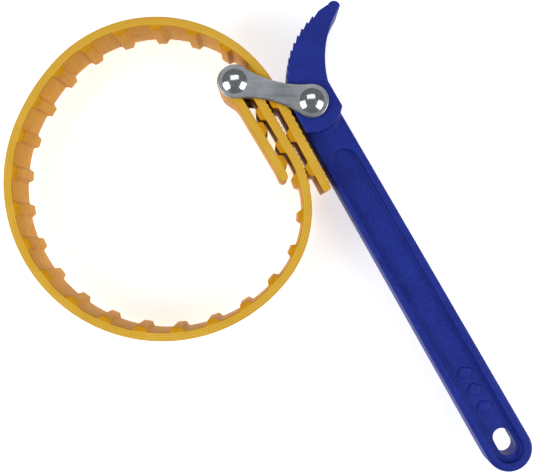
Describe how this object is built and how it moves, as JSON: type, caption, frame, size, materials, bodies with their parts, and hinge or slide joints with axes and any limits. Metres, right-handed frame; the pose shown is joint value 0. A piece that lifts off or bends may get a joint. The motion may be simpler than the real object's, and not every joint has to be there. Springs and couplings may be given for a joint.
{
  "type": "oil filter wrench",
  "caption": "Belt wrench for gripping and turning screw-on filters: ribbed adjustable belt loop joined by riveted steel link plates to a claw-headed handle.",
  "frame": {"origin": "centre of the belt loop at the belt's mid-width", "axes": "+Z along the axis of the filter that the loop holds, towards the viewer of the front plate; +X from the loop towards the handle; +Y towards the claw"},
  "size_m": [0.2144, 0.1908, 0.0331],
  "materials": {
    "handle_paint": "gloss",
    "plate_steel": "satin",
    "rivet_steel": "polished",
    "belt_rubber": "satin"
  },
  "bodies": {
    "handle": {"handle": "handle_paint"},
    "link": {"front_link_plate": "plate_steel", "rear_link_plate": "plate_steel", "handle_rivet": "rivet_steel", "anchor_rivet": "rivet_steel"},
    "belt_anchor": {"belt_anchor": "belt_rubber"},
    "belt_link_01": {"belt_link_01": "belt_rubber"},
    "belt_link_02": {"belt_link_02": "belt_rubber"},
    "belt_link_03": {"belt_link_03": "belt_rubber"},
    "belt_link_04": {"belt_link_04": "belt_rubber"},
    "belt_link_05": {"belt_link_05": "belt_rubber"},
    "belt_link_06": {"belt_link_06": "belt_rubber"},
    "belt_link_07": {"belt_link_07": "belt_rubber"},
    "belt_link_08": {"belt_link_08": "belt_rubber"},
    "belt_link_09": {"belt_link_09": "belt_rubber"},
    "belt_link_10": {"belt_link_10": "belt_rubber"},
    "belt_link_11": {"belt_link_11": "belt_rubber"},
    "belt_link_12": {"belt_link_12": "belt_rubber"},
    "belt_link_13": {"belt_link_13": "belt_rubber"},
    "belt_link_14": {"belt_link_14": "belt_rubber"},
    "belt_link_15": {"belt_link_15": "belt_rubber"},
    "belt_link_16": {"belt_link_16": "belt_rubber"},
    "belt_link_17": {"belt_link_17": "belt_rubber"},
    "belt_link_18": {"belt_link_18": "belt_rubber"},
    "belt_link_19": {"belt_link_19": "belt_rubber"},
    "belt_link_20": {"belt_link_20": "belt_rubber"},
    "belt_link_21": {"belt_link_21": "belt_rubber"},
    "belt_link_22": {"belt_link_22": "belt_rubber"},
    "belt_link_23": {"belt_link_23": "belt_rubber"},
    "belt_free_end": {"belt_free_end": "belt_rubber"}
  },
  "joints": [
    {"name": "link_swing", "type": "hinge", "parent": "handle", "child": "link", "pos_m": [0.06221, 0.03152, 0], "axis": [0, 0, 1], "range_deg": [-20, 1.5]},
    {"name": "belt_swing", "type": "hinge", "parent": "link", "child": "belt_anchor", "pos_m": [0.0314, 0.0392, 0], "axis": [0, 0, 1], "range_deg": [-6, 0.3]},
    {"name": "belt_cinch", "type": "hinge", "parent": "belt_anchor", "child": "belt_link_01", "pos_m": [0.05568, 0.00779, 0], "axis": [0, 0, 1], "range_deg": [-3.06, 0.92]},
    {"name": "web_01", "type": "hinge", "parent": "belt_link_01", "child": "belt_link_02", "pos_m": [0.06029, -0.00684, 0], "axis": [0, 0, 1], "range_deg": [-2.48, 0.78]},
    {"name": "web_02", "type": "hinge", "parent": "belt_link_02", "child": "belt_link_03", "pos_m": [0.05947, -0.02216, 0], "axis": [0, 0, 1], "range_deg": [-1.67, 0.54]},
    {"name": "web_03", "type": "hinge", "parent": "belt_link_03", "child": "belt_link_04", "pos_m": [0.05333, -0.03621, 0], "axis": [0, 0, 1], "range_deg": [-1.86, 0.59]},
    {"name": "web_04", "type": "hinge", "parent": "belt_link_04", "child": "belt_link_05", "pos_m": [0.04311, -0.04771, 0], "axis": [0, 0, 1], "range_deg": [-0.29, 0.85]},
    {"name": "web_05", "type": "hinge", "parent": "belt_link_05", "child": "belt_link_06", "pos_m": [0.03038, -0.05633, 0], "axis": [0, 0, 1], "range_deg": [-0.48, 1.5]},
    {"name": "web_06", "type": "hinge", "parent": "belt_link_06", "child": "belt_link_07", "pos_m": [0.01591, -0.06155, 0], "axis": [0, 0, 1], "range_deg": [-0.72, 2.29]},
    {"name": "web_07", "type": "hinge", "parent": "belt_link_07", "child": "belt_link_08", "pos_m": [0.0006, -0.06305, 0], "axis": [0, 0, 1], "range_deg": [-0.82, 2.62]},
    {"name": "web_08", "type": "hinge", "parent": "belt_link_08", "child": "belt_link_09", "pos_m": [-0.0146, -0.06074, 0], "axis": [0, 0, 1], "range_deg": [-0.78, 2.49]},
    {"name": "web_09", "type": "hinge", "parent": "belt_link_09", "child": "belt_link_10", "pos_m": [-0.02877, -0.05475, 0], "axis": [0, 0, 1], "range_deg": [-0.64, 2.01]},
    {"name": "web_10", "type": "hinge", "parent": "belt_link_10", "child": "belt_link_11", "pos_m": [-0.04103, -0.04546, 0], "axis": [0, 0, 1], "range_deg": [-0.44, 1.34]},
    {"name": "web_11", "type": "hinge", "parent": "belt_link_11", "child": "belt_link_12", "pos_m": [-0.05062, -0.03344, 0], "axis": [0, 0, 1], "range_deg": [-0.2335, 0.6616]},
    {"name": "web_12", "type": "hinge", "parent": "belt_link_12", "child": "belt_link_13", "pos_m": [-0.05696, -0.01943, 0], "axis": [0, 0, 1], "range_deg": [-0.31, 0.91]},
    {"name": "web_13", "type": "hinge", "parent": "belt_link_13", "child": "belt_link_14", "pos_m": [-0.05966, -0.00429, 0], "axis": [0, 0, 1], "range_deg": [-0.27, 0.8]},
    {"name": "web_14", "type": "hinge", "parent": "belt_link_14", "child": "belt_link_15", "pos_m": [-0.05855, 0.01105, 0], "axis": [0, 0, 1], "range_deg": [-1.64, 0.53]},
    {"name": "web_15", "type": "hinge", "parent": "belt_link_15", "child": "belt_link_16", "pos_m": [-0.05371, 0.02565, 0], "axis": [0, 0, 1], "range_deg": [-2.28, 0.72]},
    {"name": "web_16", "type": "hinge", "parent": "belt_link_16", "child": "belt_link_17", "pos_m": [-0.04594, 0.03895, 0], "axis": [0, 0, 1], "range_deg": [-0.46, 1.42]},
    {"name": "web_17", "type": "hinge", "parent": "belt_link_17", "child": "belt_link_18", "pos_m": [-0.03573, 0.05046, 0], "axis": [0, 0, 1], "range_deg": [-0.76, 2.41]},
    {"name": "web_18", "type": "hinge", "parent": "belt_link_18", "child": "belt_link_19", "pos_m": [-0.02284, 0.05883, 0], "axis": [0, 0, 1], "range_deg": [-0.29, 0.85]},
    {"name": "web_19", "type": "hinge", "parent": "belt_link_19", "child": "belt_link_20", "pos_m": [-0.00812, 0.06323, 0], "axis": [0, 0, 1], "range_deg": [-0.43, 1.3]},
    {"name": "web_20", "type": "hinge", "parent": "belt_link_20", "child": "belt_link_21", "pos_m": [0.00725, 0.06328, 0], "axis": [0, 0, 1], "range_deg": [-0.78, 2.47]},
    {"name": "web_21", "type": "hinge", "parent": "belt_link_21", "child": "belt_link_22", "pos_m": [0.02201, 0.059, 0], "axis": [0, 0, 1], "range_deg": [-1.18, 3.81]},
    {"name": "web_22", "type": "hinge", "parent": "belt_link_22", "child": "belt_link_23", "pos_m": [0.03495, 0.05072, 0], "axis": [0, 0, 1], "range_deg": [-0.625, 0.2225]},
    {"name": "web_23", "type": "hinge", "parent": "belt_link_23", "child": "belt_free_end", "pos_m": [0.04504, 0.03912, 0], "axis": [0, 0, 1], "range_deg": [-13.23, 4]}
  ],
  "couplings": [
    {"joint": "web_01", "follows": "belt_cinch", "ratio": 0.69017},
    {"joint": "web_02", "follows": "belt_cinch", "ratio": 0.46033},
    {"joint": "web_03", "follows": "belt_cinch", "ratio": 0.51392},
    {"joint": "web_04", "follows": "belt_cinch", "ratio": -0.229},
    {"joint": "web_05", "follows": "belt_cinch", "ratio": -0.41141},
    {"joint": "web_06", "follows": "belt_cinch", "ratio": -0.63603},
    {"joint": "web_07", "follows": "belt_cinch", "ratio": -0.73142},
    {"joint": "web_08", "follows": "belt_cinch", "ratio": -0.69485},
    {"joint": "web_09", "follows": "belt_cinch", "ratio": -0.55717},
    {"joint": "web_10", "follows": "belt_cinch", "ratio": -0.36747},
    {"joint": "web_11", "follows": "belt_cinch", "ratio": -0.17399},
    {"joint": "web_12", "follows": "belt_cinch", "ratio": -0.24536},
    {"joint": "web_13", "follows": "belt_cinch", "ratio": -0.21264},
    {"joint": "web_14", "follows": "belt_cinch", "ratio": 0.45163},
    {"joint": "web_15", "follows": "belt_cinch", "ratio": 0.63465},
    {"joint": "web_16", "follows": "belt_cinch", "ratio": -0.38842},
    {"joint": "web_17", "follows": "belt_cinch", "ratio": -0.67128},
    {"joint": "web_18", "follows": "belt_cinch", "ratio": -0.22899},
    {"joint": "web_19", "follows": "belt_cinch", "ratio": -0.35598},
    {"joint": "web_20", "follows": "belt_cinch", "ratio": -0.68855},
    {"joint": "web_21", "follows": "belt_cinch", "ratio": -1.0696},
    {"joint": "web_22", "follows": "belt_cinch", "ratio": 0.16357},
    {"joint": "web_23", "follows": "belt_cinch", "ratio": 3.748}
  ]
}
